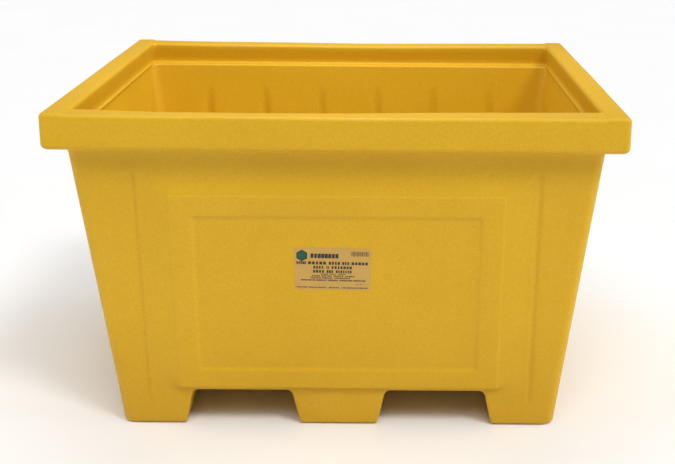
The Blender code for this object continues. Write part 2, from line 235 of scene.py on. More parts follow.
def all_of(tree, value, low, high):
    """A value of 0 to 1 spread over the given range."""
    return ranged(tree, value, low, high, from_low=0.0, from_high=1.0)


def mixed(tree, factor, first, second):
    """Two colours mixed by a socket's factor."""
    node = add_node(tree, "ShaderNodeMix", data_type="RGBA")
    for index, value in ((0, factor), (6, first), (7, second)):
        if isinstance(value, bpy.types.NodeSocket):
            tree.links.new(value, node.inputs[index])
        else:
            node.inputs[index].default_value = (*value, 1.0)
    return node.outputs[2]


def bump(tree, height, distance, strength=1.0, normal=None):
    values = {"Height": height, "Distance": distance, "Strength": strength}
    if normal is not None:
        values["Normal"] = normal
    return add_node(tree, "ShaderNodeBump", values).outputs["Normal"]


def object_place(tree):
    return add_node(tree, "ShaderNodeTexCoord").outputs["Object"]


def faded(tone, factor, lift=0.0):
    """A colour made lighter or darker by a factor, with a little added."""
    return [min(1.0, value * factor + lift) for value in tone]


def wired(tree, shader, tone, roughness, normal=None):
    """Links a finish's colour, roughness and surface to its shader."""
    for socket, value in (("Base Color", tone), ("Roughness", roughness), ("Normal", normal)):
        if value is not None:
            tree.links.new(value, shader.inputs[socket])


# ---- finishes ----------------------------------------------------------------------
def polyethylene(finish):
    """Rotomoulded polyethylene: cloudy yellow, orange-peel grain, dull patches, faint scuffs and
    painted shade toward the foot.
    """
    mat, tree, shader = new_material("rotomoulded_polyethylene", Specular_IOR_Level=0.24)
    place = object_place(tree)
    clouds = ranged(tree, noise(tree, place, scale=3.2, detail=3.0), 0.0, 1.0)
    speckle = ranged(tree, noise(tree, place, scale=230.0, detail=3.0, roughness=0.75), 0.0, 1.0)
    base = mixed(tree, clouds, finish.yellow, finish.yellow_pale)
    dusty = mixed(tree, all_of(tree, speckle, 0.0, 0.62), base, finish.dust)
    stretched = add_node(tree, "ShaderNodeMapping", {"Vector": place, "Scale": (1.0, 1.0, 9.0)})
    streaks = noise(tree, stretched.outputs[0], scale=26.0, detail=5.0, roughness=0.72)
    scuffs = ranged(tree, streaks, 0.0, 1.0, from_low=0.62, from_high=0.80)
    rubbed = mixed(tree, all_of(tree, scuffs, 0.0, 0.22), dusty, finish.scuff)
    # Painted shade toward the foot: the colour darkens over the lowest 0.36 m of height, with a
    # cloudy edge.
    height = add_node(tree, "ShaderNodeSeparateXYZ", {"Vector": place}).outputs["Z"]
    uneven = add_node(tree, "ShaderNodeMath", {0: height, 1: all_of(tree, clouds, -0.03, 0.03)},
                      operation="ADD").outputs[0]
    foot_shade_mask = ranged(tree, uneven, 0.24, 0.0, from_low=0.0, from_high=0.36)
    foot_shaded = mixed(tree, foot_shade_mask, rubbed, finish.foot_shade)
    dull = ranged(tree, noise(tree, place, scale=14.0, detail=4.0, roughness=0.6), 0.40, 0.54)
    surface = None
    for scale, roughness, distance, depth in ((9.0, 0.4, 0.0011, 0.55),      # slow ripples
                                              (190.0, 0.55, 0.0010, 0.42),   # orange peel
                                              (620.0, 0.5, 0.0005, 0.35)):   # fine grain
        wave = noise(tree, place, scale, roughness=roughness)
        surface = bump(tree, wave, distance, depth, surface)
    wired(tree, shader, foot_shaded, dull, surface)
    return mat


def turned_brass(finish):
    """Machined brass: fine rings left by the tool, tarnished in patches."""
    mat, tree, shader = new_material("turned_brass", Metallic=1.0)
    place = object_place(tree)
    tarnish = ranged(tree, noise(tree, place, scale=160.0, detail=4.0), 0.0, 1.0)
    tone = mixed(tree, tarnish, finish.brass, faded(finish.brass, 0.62))
    values = {"Vector": place, "Scale": 900.0, "Distortion": 1.5}
    lines = add_node(tree, "ShaderNodeTexWave", values, bands_direction="Z")
    wired(tree, shader, tone, all_of(tree, tarnish, 0.24, 0.48),
          bump(tree, lines.outputs["Fac"], distance=0.00005, strength=0.6))
    return mat


def moulded_black(finish):
    """Injection-moulded plastic with a fine spark-eroded grain."""
    mat, tree, shader = new_material("moulded_black", Specular_IOR_Level=0.45)
    place = object_place(tree)
    grain = noise(tree, place, scale=2400.0)
    tone = mixed(tree, ranged(tree, grain, 0.0, 1.0), finish.black, faded(finish.black, 2.2))
    wired(tree, shader, tone, ranged(tree, noise(tree, place, scale=300.0), 0.42, 0.60),
          bump(tree, grain, distance=0.0001, strength=0.5))
    return mat


def printed(name, tone, roughness, fibre):
    """Label film or ink: slight fading in patches over a fine fibre."""
    mat, tree, shader = new_material(name, Specular_IOR_Level=0.35)
    place = object_place(tree)
    patches = ranged(tree, noise(tree, place, scale=22.0, detail=3.0), 0.0, 1.0)
    fine = ranged(tree, noise(tree, place, scale=900.0), 0.0, fibre, from_low=0.2, from_high=0.8)
    worn = mixed(tree, patches, tone, faded(tone, 1.08, lift=0.004))
    wired(tree, shader, mixed(tree, fine, worn, faded(tone, 0.72)),
          all_of(tree, patches, roughness, roughness + 0.10),
          bump(tree, noise(tree, place, scale=700.0), distance=0.00006, strength=0.5))
    return mat


def studio_floor(finish):
    """A pale plain floor with a trace of unevenness."""
    mat, tree, shader = new_material("studio_floor", Specular_IOR_Level=0.25)
    place = object_place(tree)
    clouds = ranged(tree, noise(tree, place, scale=1.2, detail=3.0), 0.0, 1.0)
    wired(tree, shader, mixed(tree, clouds, finish.floor, faded(finish.floor, 0.985)),
          ranged(tree, noise(tree, place, scale=40.0), 0.62, 0.72))
    return mat


# ---- mesh helpers ------------------------------------------------------------------
def add_object(name, data):
    obj = bpy.data.objects.new(name, data)
    bpy.context.scene.collection.objects.link(obj)
    return obj


def finished(name, mesh, mat, slot, *nodes, sharp=35.0):
    """A piece at the origin that rides on the body and stands for CAD nodes."""
    mesh.name = name
    mesh.materials.clear()
    mesh.materials.append(mat)
    mesh.shade_smooth()
    mesh.set_sharp_from_angle(angle=math.radians(sharp))
    piece = add_object(name, mesh)
    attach(piece, BODY)
    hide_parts(*nodes)
    return piece


def baked(obj):
    """The evaluated object as a plain mesh; the object itself is removed."""
    bpy.context.view_layer.update()
    graph = bpy.context.evaluated_depsgraph_get()
    mesh = bpy.data.meshes.new_from_object(obj.evaluated_get(graph))
    bpy.data.objects.remove(obj, do_unlink=True)
    return mesh


def mesh_of(points, faces, name="shape"):
    mesh = bpy.data.meshes.new(name)
    mesh.from_pydata([tuple(p) for p in points], [], faces)
    mesh.validate()
    return mesh


def mesh_from(bm, name, outward=False):
    if outward:
        bmesh.ops.recalc_face_normals(bm, faces=bm.faces)
    mesh = bpy.data.meshes.new(name)
    bm.to_mesh(mesh)
    bm.free()
    return mesh


def lathe(bm, profile, x=0.0, y=0.0, segments=48, flute=None):
    """A solid turned about an upright axis; profile is (radius, z) from its foot to its top."""
    rows = []
    for radius, z in profile:
        row = []
        for i in range(segments):
            angle = 2 * math.pi * i / segments
            reach = radius if flute is None else flute(radius, z, i)
            row.append(bm.verts.new((x + reach * math.cos(angle), y + reach * math.sin(angle), z)))
        rows.append(row)
    for low, high in zip(rows, rows[1:]):
        for i in range(segments):
            j = (i + 1) % segments
            bm.faces.new((low[i], low[j], high[j], high[i]))
    return rows


def capped(bm, rows):
    """Closes a turned solid at its foot and its top."""
    bm.faces.new(rows[0][::-1])
    bm.faces.new(rows[-1])


def smooth(value):
    """Smooth step of an array from 0 to 1."""
    value = np.clip(value, 0.0, 1.0)
    return value * value * (3.0 - 2.0 * value)


def soft_min(first, second, blend):
    """Minimum of two arrays with a rounded crease between them."""
    mix = np.clip(0.5 + 0.5 * (second - first) / blend, 0.0, 1.0)
    return second + (first - second) * mix - blend * mix * (1.0 - mix)


def graded(low, high, count, marks, crowding):
    """Places from low to high, closer together round each (mark, reach)."""
    fine = np.linspace(low, high, 4000)
    density = np.ones_like(fine)
    for mark, reach in marks:
        density += crowding * np.exp(-((fine - mark) / reach) ** 2)
    total = np.concatenate(([0.0], np.cumsum(density[1:] + density[:-1])))
    return np.interp(np.linspace(0.0, total[-1], count), total, fine)


# ---- the moulding ------------------------------------------------------------------
RINGS_ON_WALL = 84
RINGS_ON_INNER_WALL = 34
RINGS_ON_RIM_TOP = 12
CORNER_STEPS = 6
END_STEPS = 4
CORE_LONG = 51          # columns on half a long side
CORE_SHORT = 45         # columns on half a short side
BRACES_LONG = (0.5, 1.5, 2.5)       # places of half a side's braces, in brace pitches
BRACES_SHORT = (0.0, 1.0, 2.0)
ON_WALL, ON_RIM, ON_INNER = (1.0, 0.0, 0.0), (0.0, 1.0, 0.0), (0.0, 0.0, 1.0)
LEDGE_ROOT = 0.008      # fillet where the rim's inner face meets the ledge
FLARE_OF_CORNER = 0.6   # how much of the floor's fillet the corners' radius gains on the way down

# blends between the faces of the relief
CREASE = 0.0010         # creases of the slope round a panel
CREASE_ACROSS = 0.0005  # mitre between its top and its sides
FOOT_RUN = (0.006, 0.050)           # run of the slope's foot under the band and beside it
LIP_RUN = 0.007
STEP_RUN = 0.014
STEP_CORNER = 0.006

# cooling marks
SWELL = 0.0006          # height of the slow waves
RIM_RISE = 0.0035       # how far the whole rim stands over its nominal height


def arc(radius, turns):
    """Radius less its cosine and radius less its sine, for each turn in degrees."""
    return [(radius * (1.0 - math.cos(turn)), radius * (1.0 - math.sin(turn)))
            for turn in np.radians(turns)]


def eased_table(places, values, span, count=161, window=31):
    """A table through the given values with its kinks rounded off."""
    fine = np.linspace(-span, span, count)
    kernel = np.hanning(window)
    padded = np.pad(np.interp(fine, places, values), window // 2, mode="edge")
    return fine, np.convolve(padded, kernel / kernel.sum(), mode="valid")


# How far the front rim's inner edge wanders from straight, along the bin.
RIM_EDGE_ALONG, RIM_EDGE_SHIFT = eased_table(
    (-0.68, -0.50, -0.25, 0.00, 0.25, 0.49, 0.68),
    (0.012, -0.009, -0.014, -0.003, 0.012, 0.017, 0.024), HALF_LENGTH)


class Moulding:
    """Sections and surface relief of the tub, worked out from the settings."""

    def __init__(self, tub, relief):
        self.tub = tub
        self.relief = relief
        self.wall_top = HEIGHT - tub.rim_band
        self.foot_x = HALF_LENGTH - tub.overhang_short - tub.draft * self.wall_top
        self.foot_y = HALF_WIDTH - tub.overhang_long - tub.draft * self.wall_top
        self.columns = {"long": self.column_sets("long"), "short": self.column_sets("short")}

    # -- columns --
    def column_sets(self, run):
        """Nominal places of the upright columns for the wall, the rim and the inner wall."""
        relief = self.relief
        if run == "long":
            half, groove, core = relief.panel_half_long, relief.groove_long, CORE_LONG
            braces = BRACES_LONG
        else:
            half, groove, core = relief.panel_half_short, relief.groove_short, CORE_SHORT
            braces = BRACES_SHORT
        edge = half - relief.panel_band
        wall_marks = [(groove, relief.groove_reach * 1.2), (half, 0.006), (edge, 0.010),
                      (half + relief.panel_bevel, 0.010), (half + relief.panel_bevel / 2, 0.030)]
        wall = graded(0.0, groove + relief.groove_reach + 0.006, core, wall_marks, 14.0)
        brace_marks = [(place * relief.brace_pitch, relief.brace_reach) for place in braces]
        inner = graded(0.0, braces[-1] * relief.brace_pitch + relief.brace_reach + 0.003, core,
                       brace_marks, 7.0)
        rim = graded(0.0, 1.0, core + END_STEPS, [(0.97, 0.06)], 10.0)
        return wall, rim, inner

    def column_places(self, run, flat, mix):
        """Places along a side whose straight part is 2 * flat long."""
        wall, rim, inner = self.columns[run]
        ends = np.arange(1, END_STEPS + 1) / END_STEPS
        half = (mix[0] * np.concatenate((wall, wall[-1] + ends * (flat - wall[-1])))
                + mix[1] * rim * flat
                + mix[2] * np.concatenate((inner, inner[-1] + ends * (flat - inner[-1]))))
        return np.concatenate((-half[:0:-1], half))

    # -- relief --
    def wall_relief(self, side, along, height):
        """How far the outer wall stands out from its plane."""
        relief = self.relief
        long_side = side in ("front", "back")
        half = relief.panel_half_long if long_side else relief.panel_half_short
        groove = relief.groove_long if long_side else relief.groove_short
        across = np.abs(along)
        slope = relief.panel_rise - relief.panel_lip
        beside = (half + relief.panel_bevel - across) * slope / relief.panel_bevel
        above = relief.panel_high + relief.panel_bevel_top - height
        above = above * slope / relief.panel_bevel_top
        rise = soft_min(soft_min(beside, above, CREASE_ACROSS), np.full_like(beside, slope), CREASE)
        rise = -soft_min(-rise, np.zeros_like(rise), CREASE)
        foot_run = FOOT_RUN[0] + FOOT_RUN[1] * smooth((across - half) / 0.030)
        rise = rise * smooth((height - relief.panel_low + foot_run * 0.35) / foot_run)
        inset = np.minimum(np.minimum(half - across, relief.panel_high - height),
                           height - relief.panel_low)
        rise = rise + relief.panel_lip * smooth(inset / LIP_RUN + 0.5)
        sunk = soft_min(soft_min(half - across, relief.panel_high - height, STEP_CORNER),
                        height - relief.panel_low, STEP_CORNER) - relief.panel_band
        rise = rise - relief.panel_step * smooth(sunk / STEP_RUN + 0.5)
        middle_height = (relief.panel_high + relief.panel_low) / 2
        reach_up = (relief.panel_high - relief.panel_low) / 2 - relief.panel_band
        bulge_x = np.clip(1.0 - (across / (half - relief.panel_band)) ** 2, 0.0, 1.0)
        bulge_z = np.clip(1.0 - ((height - middle_height) / reach_up) ** 2, 0.0, 1.0)
        rise = rise + relief.panel_crown * np.sqrt(bulge_x * bulge_z)
        nearest = np.clip(height, relief.groove_low, relief.groove_high)
        gap = np.hypot(across - groove, height - nearest) / relief.groove_reach
        cut = 0.5 + 0.5 * np.cos(np.pi * np.clip(gap, 0.0, 1.0))
        return rise - relief.groove_depth * cut

    def inner_relief(self, side, along, height):
        """How far the braces sink into the inner wall."""
        relief = self.relief
        long_side = side in ("front", "back")
        depth = relief.brace_depth_long if long_side else relief.brace_depth_short
        braces = BRACES_LONG if long_side else BRACES_SHORT
        step = np.round(along / relief.brace_pitch - braces[0]) + braces[0]
        step = np.clip(step, -braces[-1], braces[-1])
        nearest = np.maximum(height, relief.brace_low + relief.brace_reach)
        gap = np.hypot(along - step * relief.brace_pitch, height - nearest) / relief.brace_reach
        fade = smooth((relief.brace_high - height) / relief.brace_fade)
        return depth * fade * (0.5 + 0.5 * np.cos(np.pi * np.clip(gap, 0.0, 1.0)))

    # -- sections --
    def outside(self):
        """Sections up the outer wall and round the rim's foot: (x, y, radius, z, mix)."""
        tub, relief = self.tub, self.relief
        edge, root, corner = tub.foot_edge, tub.rim_root, tub.wall_corner
        yield self.foot_x - edge, self.foot_y - edge, corner, 0.0, ON_WALL
        for z, inset in arc(edge, np.linspace(15.0, 90.0, 6)):
            reach = tub.draft * z - inset
            yield self.foot_x + reach, self.foot_y + reach, corner, z, ON_WALL
        marks = [(relief.groove_low, 0.012), (relief.groove_high, 0.014), (relief.panel_low, 0.007),
                 (relief.panel_low + relief.panel_band, 0.010), (relief.panel_high, 0.007),
                 (relief.panel_high - relief.panel_band, 0.010), (relief.panel_high + 0.03, 0.035)]
        for z in graded(edge, self.wall_top - root, RINGS_ON_WALL, marks, 9.0)[1:]:
            reach = tub.draft * z
            yield self.foot_x + reach, self.foot_y + reach, corner, z, ON_WALL
        top_x = self.foot_x + tub.draft * self.wall_top
        top_y = self.foot_y + tub.draft * self.wall_top
        for reach, drop in arc(root, (22.5, 45.0, 67.5, 90.0)):
            yield top_x + reach, top_y + reach, corner, self.wall_top - drop, ON_WALL
        for part in (0.25, 0.5, 0.75):
            reach_x = root + part * (tub.overhang_short - root - tub.rim_foot)
            reach_y = root + part * (tub.overhang_long - root - tub.rim_foot)
            mix = (1.0 - part, part, 0.0)
            yield top_x + reach_x, top_y + reach_y, corner, self.wall_top, mix
        for rise, inset in arc(tub.rim_foot, np.linspace(0.0, 90.0, 7)):
            z = self.wall_top + rise
            yield HALF_LENGTH - inset, HALF_WIDTH - inset, tub.rim_corner, z, ON_RIM

    def over_rim(self):
        """Sections up the rim's face, over its top and down to the ledge."""
        for x, y, z in self.rim_places():
            yield x, y, self.tub.rim_corner, z, ON_RIM

    def rim_places(self):
        tub, edge = self.tub, self.tub.rim_edge
        low, high = self.wall_top + tub.rim_foot, HEIGHT - edge
        inner_x, inner_y = HALF_LENGTH - tub.rim_top_short, HALF_WIDTH - tub.rim_top_long
        turns = np.linspace(0.0, 90.0, 6)
        for z in np.linspace(low, high, 8)[1:-1]:
            yield HALF_LENGTH, HALF_WIDTH, z
        for inset, drop in arc(edge, turns):
            yield HALF_LENGTH - inset, HALF_WIDTH - inset, HEIGHT - drop
        for part in np.linspace(0.0, 1.0, RINGS_ON_RIM_TOP)[1:-1]:
            yield (HALF_LENGTH - edge + part * (inner_x - HALF_LENGTH + 2.0 * edge),
                   HALF_WIDTH - edge + part * (inner_y - HALF_WIDTH + 2.0 * edge), HEIGHT)
        for inset, drop in arc(edge, turns[::-1]):
            yield inner_x + inset, inner_y + inset, HEIGHT - drop
        for part in (0.25, 0.5, 0.75, 1.0):
            yield (inner_x + part * (tub.ledge_out_short - inner_x),
                   inner_y + part * (tub.ledge_out_long - inner_y),
                   high + part * (LEDGE_HEIGHT + LEDGE_ROOT - high))
        for inset, rise in arc(LEDGE_ROOT, (30.0, 60.0, 90.0)):
            yield tub.ledge_out_short - inset, tub.ledge_out_long - inset, LEDGE_HEIGHT + rise

    def inside(self):
        """Sections over the ledge, down the inner wall and across the floor."""
        tub, edge, fillet = self.tub, self.tub.ledge_edge, self.tub.floor_edge
        mouth_x, mouth_y, corner = tub.ledge_in_short, tub.ledge_in_long, tub.wall_corner
        for part in (0.25, 0.5, 0.75):
            x, y = tub.ledge_out_short - LEDGE_ROOT, tub.ledge_out_long - LEDGE_ROOT
            x += part * (mouth_x + edge - x)
            y += part * (mouth_y + edge - y)
            yield x, y, tub.rim_corner, LEDGE_HEIGHT, (0.0, 1.0 - part, part)
        for inset, drop in arc(edge, np.linspace(90.0, 0.0, 7)):
            yield mouth_x + inset, mouth_y + inset, corner, LEDGE_HEIGHT - drop, ON_INNER
        top = LEDGE_HEIGHT - edge
        low = tub.floor_height + fillet
        marks = [(self.relief.brace_low, 0.02), (self.relief.brace_high, 0.02)]
        for z in graded(low, top, RINGS_ON_INNER_WALL, marks, 5.0)[-2::-1]:
            lean = tub.draft * (top - z)
            radius = corner + (top - z) / (top - low) * fillet * FLARE_OF_CORNER
            yield mouth_x - lean, mouth_y - lean, radius, z, ON_INNER
        for inset, rise in arc(fillet, np.linspace(0.0, 90.0, 9)[1:]):
            lean = tub.draft * (top - low) + inset
            radius = corner + fillet * FLARE_OF_CORNER
            yield mouth_x - lean, mouth_y - lean, radius, tub.floor_height + rise, ON_INNER

    # -- warping --
    def warp(self, places):
        """Cooling marks: sagging and stepped long rims, and slow waves in every face."""
        tub = self.tub
        x, y, z = places.T
        top_x, top_y = HALF_LENGTH - tub.rim_top_short, HALF_WIDTH - tub.rim_top_long
        on_rim = smooth((z - self.wall_top - 0.02) / 0.05)
        on_long = smooth((np.abs(y) - (top_y - 0.016)) / 0.010)
        span = np.clip(1.0 - (x / top_x) ** 2, 0.0, 1.0)
        sag = np.where(y > 0.0, tub.rim_sag_back, tub.rim_sag_front) * span
        step = tub.rim_step * (1.0 - smooth((np.abs(x) - (top_x + 0.008)) / 0.007 + 0.5))
        drop = on_rim * on_long * (sag + step)
        wave = (np.sin(7.1 * x + 1.3) * np.sin(5.3 * y + 2.1 * z + 0.4)
                + 0.6 * np.sin(13.7 * x + 3.1 * z) * np.cos(11.9 * y + 0.9))
        on_front_edge = smooth((z - LEDGE_HEIGHT - 0.02) / 0.05)
        on_front_edge *= smooth((y + HALF_WIDTH - 0.014) / (tub.rim_top_long - 0.028)) * (y < -0.5)
        on_front_edge *= np.abs(x) < top_x + 0.02
        places[:, 1] += np.interp(x, RIM_EDGE_ALONG, RIM_EDGE_SHIFT) * on_front_edge
        lift = SWELL * on_rim * np.sin(9.3 * x + 4.7 * y + 0.8)
        reach = np.maximum(np.hypot(x, y), 0.05)
        inside = np.minimum(1.0, (HALF_LENGTH - np.abs(x)) / 0.002 + 1.0)
        places[:, 0] += SWELL * wave * x / reach * inside
        high = smooth((z - self.wall_top + 0.03) / 0.03)
        places[:, 0] += tub.rim_flare * high * smooth((np.abs(x) - 0.70) / 0.08) * np.sign(x)
        places[:, 2] += high * (RIM_RISE - tub.rim_lean * x / HALF_LENGTH)
        places[:, 1] += SWELL * wave * y / reach
        places[:, 2] += np.where(z > 0.02, lift - drop, 0.0)
        return places

    def ring(self, half_x, half_y, radius, z, mix):
        """Points of one section, anticlockwise from above, starting on the front side."""
        points = []
        for index, side in enumerate(SIDES):
            run = "long" if side in ("front", "back") else "short"
            flat, reach = (half_x, half_y) if run == "long" else (half_y, half_x)
            flat -= radius
            along = self.column_places(run, flat, mix)
            height = np.full_like(along, z)
            out = np.full_like(along, reach)
            out += mix[0] * self.wall_relief(side, along, height)
            out += mix[2] * self.inner_relief(side, along, height)
            angles = np.radians(90.0 * np.arange(1, CORNER_STEPS) / CORNER_STEPS)
            along = np.concatenate((along, flat + radius * np.sin(angles)))
            out = np.concatenate((out, reach - radius + radius * np.cos(angles)))
            turn = math.radians(90.0 * index)
            x = along * math.cos(turn) + out * math.sin(turn)
            y = along * math.sin(turn) - out * math.cos(turn)
            points.append(np.stack((x, y, np.full_like(x, z)), axis=1))
        return np.concatenate(points)

    def mesh(self):
        """The tub as one closed mesh, before the channels and the bores are cut."""
        rings = [*self.outside(), *self.over_rim(), *self.inside()]
        points = self.warp(np.concatenate([self.ring(*ring) for ring in rings]))
        count = len(points) // len(rings)
        around = np.arange(count)
        nxt = (around + 1) % count
        faces = [list(reversed(range(count)))]
        for level in range(len(rings) - 1):
            low = level * count
            high = low + count
            faces += np.stack((low + around, low + nxt, high + nxt, high + around), axis=1).tolist()
        faces.append(list(range((len(rings) - 1) * count, len(rings) * count)))
        return mesh_of(points, faces, "tub")

    def on_front(self, along, height, lift):
        """A point on the front wall's outer face, standing off it by lift."""
        along = np.asarray(along, float)
        height = np.asarray(height, float)
        out = self.foot_y + self.tub.draft * height + self.wall_relief("front", along, height)
        base = np.stack((along, -out, height), axis=-1).reshape(-1, 3)
        return self.warp(base) + np.outer(lift, (0.0, -1.0, -self.tub.draft))


CUTTER_FOOT = -0.01         # how low a channel's cutter reaches
CUTTER_END = -0.03          # how far it stands out of a wall
BORE_FOOT = -0.02           # how low an insert's cutter starts


def channel_section(relief, grow):
    """Half of a fork channel's section, from its roof's middle down to below the floor."""
    lean = (relief.fork_half_foot - relief.fork_half_top) / FORK_ROOF
    roof = FORK_ROOF + grow
    radius = relief.fork_edge + grow
    points = []
    for inset, drop in arc(radius, np.linspace(90.0, 0.0, 7)):
        z = roof - drop
        points.append((relief.fork_half_top + lean * (FORK_ROOF - z) + grow - inset, z))
    for x, z in arc(relief.runner_edge, np.linspace(0.0, 80.0, 6)):
        points.append((relief.fork_half_top + lean * (FORK_ROOF - z) + grow + x, z))
    points.append((points[-1][0], CUTTER_FOOT))
    return points


def channel_cutter(shape, hand):
    """A fork channel's cutter, opening out in a curve where it meets the walls."""
    curve = arc(shape.relief.fork_mouth, np.linspace(10.0, 90.0, 6))
    depths = [(CUTTER_END, curve[0][1]), *curve]
    rows = []
    for end, steps in ((-1.0, depths), (1.0, depths[::-1])):
        for depth, grow in steps:
            half = channel_section(shape.relief, grow)
            section = half + [(-x, z) for x, z in reversed(half)]
            rows.append([(hand * FORK_CENTRE + x,
                          end * (shape.foot_y + shape.tub.draft * z - depth), z)
                         for x, z in section])
    count = len(rows[0])
    points = [point for row in rows for point in row]
    faces = [list(range(count)), list(range(len(points) - 1, len(points) - count - 1, -1))]
    for row in range(len(rows) - 1):
        for i in range(count):
            j = (i + 1) % count
            low = row * count
            faces.append((low + j, low + i, low + count + i, low + count + j))
    return points, faces


def channel_cutters(shape):
    """One mesh of the two fork channels' cutters."""
    bm = bmesh.new()
    for hand in (-1, 1):
        points, faces = channel_cutter(shape, hand)
        verts = [bm.verts.new(point) for point in points]
        for face in faces:
            bm.faces.new([verts[i] for i in face])
    return mesh_from(bm, "channels", outward=True)


def bore_cutters():
    """One mesh of the cutters for the blind bores that take the inserts and the vent plugs."""
    bm = bmesh.new()
    for node in INSERT_NODES:
        low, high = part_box(node)
        radius = (high.x - low.x) / 2 + CLEARANCE
        top = high.z + CLEARANCE
        capped(bm, lathe(bm, [(radius, BORE_FOOT), (radius, top)], middle(node).x, middle(node).y))
    for node in VENT_NODES:
        low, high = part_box(node)
        flange = (high.x - low.x) / 2 + CLEARANCE
        barrel = flange * BARREL_SHARE
        seat = FORK_ROOF + FLANGE_DEPTH + 3 * CLEARANCE
        profile = [(flange, FORK_ROOF + CUTTER_FOOT), (flange, seat), (barrel, seat),
                   (barrel, high.z + CLEARANCE)]
        capped(bm, lathe(bm, profile, middle(node).x, middle(node).y))
    return mesh_from(bm, "bores", outward=True)


def shape_now():
    """The moulding's shape at the scene's present settings."""
    scene = bpy.context.scene
    return Moulding(scene.tote_tub, scene.tote_relief)


class OBJECT_OT_tote_moulding(bpy.types.Operator):
    """Build the yellow polyethylene moulding"""

    bl_idname = "object.tote_moulding"
    bl_label = "Moulding"

    def execute(self, context):
        shape = shape_now()
        tub = add_object("tub_shape", shape.mesh())
        cutters = [add_object("channel_cutters", channel_cutters(shape)),
                   add_object("bore_cutters", bore_cutters())]
        for cutter in cutters:
            cut = tub.modifiers.new(cutter.name, "BOOLEAN")
            cut.operation = "DIFFERENCE"
            cut.solver = "EXACT"
            cut.object = cutter
        mesh = baked(tub)
        for cutter in cutters:
            bpy.data.objects.remove(cutter, do_unlink=True)
        if len(mesh.polygons) == 0:
            raise RuntimeError("the moulding lost its faces when the channels were cut")
        finished("tote_moulding", mesh, polyethylene(context.scene.tote_finish),
                 "yellow_polyethylene", "tote_body")
        return {"FINISHED"}


# ---- small parts set out by geometry nodes -----------------------------------------
def node_group(name, sockets):
    """A geometry node group with its inputs and output made, and their nodes."""
    tree = bpy.data.node_groups.new(name, "GeometryNodeTree")
    for label, kind in (("Points", "NodeSocketGeometry"), *sockets):
        tree.interface.new_socket(name=label, in_out="INPUT", socket_type=kind)
    tree.interface.new_socket(name="Geometry", in_out="OUTPUT", socket_type="NodeSocketGeometry")
    given, result = tree.nodes.new("NodeGroupInput"), tree.nodes.new("NodeGroupOutput")
    return tree, given.outputs, result.inputs["Geometry"]


def closing(tree, instances, material, result):
    """Realises the instances and gives them their material."""
    real = add_node(tree, "GeometryNodeRealizeInstances", {"Geometry": instances.outputs[0]})
    done = add_node(tree, "GeometryNodeSetMaterial",
                    {"Geometry": real.outputs[0], "Material": material})
    tree.links.new(done.outputs[0], result)
    return tree


def set_out_group():
    """Stands a copy of one part on every point, each turned by its own angle."""
    tree, given, result = node_group("set_out", (
        ("Part", "NodeSocketObject"), ("Seed", "NodeSocketInt"),
        ("Material", "NodeSocketMaterial")))
    part = add_node(tree, "GeometryNodeObjectInfo", {"Object": given["Part"]})
    spin = add_node(tree, "FunctionNodeRandomValue", {"Seed": given["Seed"]}, data_type="FLOAT")
    spin.inputs[3].default_value = 2 * math.pi
    turn = add_node(tree, "ShaderNodeCombineXYZ", {"Z": spin.outputs[1]})
    copies = add_node(tree, "GeometryNodeInstanceOnPoints",
                      {"Points": given["Points"], "Instance": part.outputs["Geometry"],
                       "Rotation": turn.outputs[0]})
    return closing(tree, copies, given["Material"], result)


def print_group():
    """Stamps a block on every point, sized by its attribute, a little uneven in width."""
    tree, given, result = node_group("print_blocks", (
        ("Unevenness", "NodeSocketFloat"), ("Seed", "NodeSocketInt"),
        ("Material", "NodeSocketMaterial")))
    block = add_node(tree, "GeometryNodeMeshCube")
    size = add_node(tree, "GeometryNodeInputNamedAttribute", {"Name": "size"},
                    data_type="FLOAT_VECTOR")
    least = add_node(tree, "ShaderNodeMath", {0: 1.0, 1: given["Unevenness"]},
                     operation="SUBTRACT")
    part = add_node(tree, "FunctionNodeRandomValue", {"Seed": given["Seed"]}, data_type="FLOAT")
    tree.links.new(least.outputs[0], part.inputs[2])
    width = add_node(tree, "ShaderNodeCombineXYZ", {"X": part.outputs[1], "Y": 1.0, "Z": 1.0})
    scale = add_node(tree, "ShaderNodeVectorMath", {0: size.outputs[0], 1: width.outputs[0]},
                     operation="MULTIPLY")
    copies = add_node(tree, "GeometryNodeInstanceOnPoints",
                      {"Points": given["Points"], "Instance": block.outputs["Mesh"],
                       "Scale": scale.outputs[0]})
    return closing(tree, copies, given["Material"], result)


def set_out(points, tree, sizes=None, **inputs):
    """The node group's result for these points, as a plain mesh."""
    mesh = mesh_of(points, [], "points")
    if sizes is not None:
        size = mesh.attributes.new("size", "FLOAT_VECTOR", "POINT")
        size.data.foreach_set("vector", np.ravel(sizes))
    obj = add_object("points", mesh)
    modifier = obj.modifiers.new(tree.name, "NODES")
    modifier.node_group = tree
    for item in tree.interface.items_tree:
        if item.in_out == "INPUT" and item.name in inputs:
            modifier[item.identifier] = inputs[item.name]
    return baked(obj)


class FittingSettings(bpy.types.PropertyGroup):
    """Details of the threaded inserts and the vent plugs."""

    bore: length("Bore", "Radius of an insert's thread at its roots", 0.0050)
    thread_pitch: length("Thread pitch", "Height of one turn of thread", 0.0015)
    thread_depth: length("Thread depth", "Depth of the thread", 0.0008)
    knurl_depth: length("Knurl depth", "Depth of the knurling on an insert", 0.0004)
    plug_rib: length("Plug rib", "How far a plug's sealing ribs stand out", 0.00022)
    seed: bpy.props.IntProperty(name="Seed", description="Seed of the turns of the copies",
                                default=4, min=0)


LATHE_STEPS = 64            # facets round an insert or a plug
INSERT_CHAMFER = 0.0006
WAIST = 0.0012              # depth of the groove round an insert's middle, and its half height
